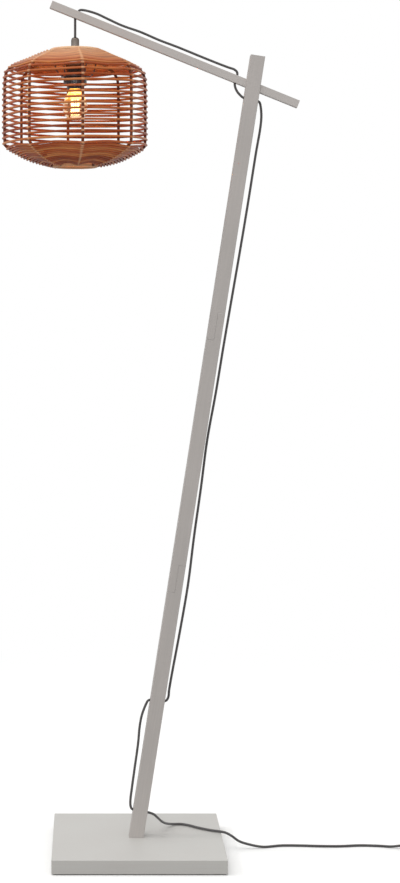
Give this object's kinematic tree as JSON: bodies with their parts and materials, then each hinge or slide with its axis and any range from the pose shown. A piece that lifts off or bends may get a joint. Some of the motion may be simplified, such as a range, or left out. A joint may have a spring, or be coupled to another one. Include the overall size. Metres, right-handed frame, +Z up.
{
  "type": "rattan floor lamp",
  "caption": "Floor lamp with a square base, a leaning three-piece mast, a slanted boom through its top and a round woven cane shade hung on the lamp's own cord.",
  "frame": {"origin": "on the floor under the middle of the base", "axes": "+Z up, +X to the right towards which the mast leans, +Y away from the viewer of the picture"},
  "size_m": [1.1461, 0.412, 2.0723],
  "materials": {
    "painted_wood": "painted, satin",
    "felt": "pressed felt",
    "zinc_steel": "zinc plated",
    "brass": "plain",
    "black_nickel": "gloss black nickel plating",
    "black_plastic": "moulded",
    "white_ceramic": "glazed",
    "clear_glass": "clear, warm tint",
    "filament": "glowing",
    "cane": "peeled and oiled cane",
    "lacquered_wire": "brown lacquer",
    "textile_cord": "braided cotton over PVC"
  },
  "bodies": {
    "stand": {"base_plate": "painted_wood", "mast_lower": "painted_wood", "mast_middle": "painted_wood", "mast_upper": "painted_wood", "felt_sheet": "felt", "foot_bolt_front": "zinc_steel", "foot_bolt_rear": "zinc_steel", "foot_washer_front": "zinc_steel", "foot_washer_rear": "zinc_steel", "lap_screw_1": "zinc_steel", "lap_screw_2": "zinc_steel", "lap_screw_3": "zinc_steel", "lap_screw_4": "zinc_steel", "boom_grub_screw": "zinc_steel", "switch_screw_1": "zinc_steel", "switch_screw_2": "zinc_steel", "switch_spring": "zinc_steel", "foot_insert_front": "brass", "foot_insert_rear": "brass", "lap_insert_1": "brass", "lap_insert_2": "brass", "lap_insert_3": "brass", "lap_insert_4": "brass", "boom_grub_insert": "brass", "plug_pin_1": "brass", "plug_pin_2": "brass", "switch_base": "black_plastic", "switch_cover": "black_plastic", "switch_relief_in": "black_plastic", "switch_relief_out": "black_plastic", "plug_body": "black_plastic", "lead_loop": "textile_cord", "lead_rear": "textile_cord", "lead_left": "textile_cord", "lead_floor": "textile_cord", "lead_tail": "textile_cord", "lead_end": "textile_cord", "lead_coil": "textile_cord"},
    "boom": {"boom": "painted_wood", "lead_boom": "textile_cord"},
    "pendant_link": {"lead_drop": "textile_cord"},
    "pendant": {"holder_cap": "black_nickel", "cord_grip_screw": "black_plastic", "holder_shell": "black_plastic", "shade_ring": "black_plastic", "holder_insert": "white_ceramic", "centre_contact": "brass", "lamp_thread": "brass", "bulb_cap": "zinc_steel", "bulb_glass": "clear_glass", "bulb_filament": "filament", "shade_frame": "cane", "shade_spider": "lacquered_wire", "rim_binding_top": "cane", "rim_binding_bottom": "cane", "weave_top": "cane", "weave_bottom": "cane", "weave_side_1": "cane", "weave_side_2": "cane"},
    "switch_button": {"switch_button": "black_plastic"}
  },
  "joints": [
    {"name": "boom_slide", "type": "slide", "parent": "stand", "child": "boom", "axis": [-0.9272, 0, 0.3746], "range_m": [-0.015, 0.03], "deforming": ["lead_loop"]},
    {"name": "pendant_swing_fore_aft", "type": "hinge", "parent": "boom", "child": "pendant_link", "pos_m": [-0.152, 0, 2.02957], "axis": [1, 0, 0], "range_deg": [-20, 20]},
    {"name": "pendant_swing_side", "type": "hinge", "parent": "pendant_link", "child": "pendant", "pos_m": [-0.152, 0, 2.02957], "axis": [0, 1, 0], "range_deg": [-10, 25], "deforming": ["lead_drop"]},
    {"name": "switch_press", "type": "slide", "parent": "stand", "child": "switch_button", "axis": [0, 0, -1], "range_m": [0, 0.003], "stiffness_N_per_m": 600, "springref_m": -0.002, "deforming": ["switch_spring"]}
  ]
}
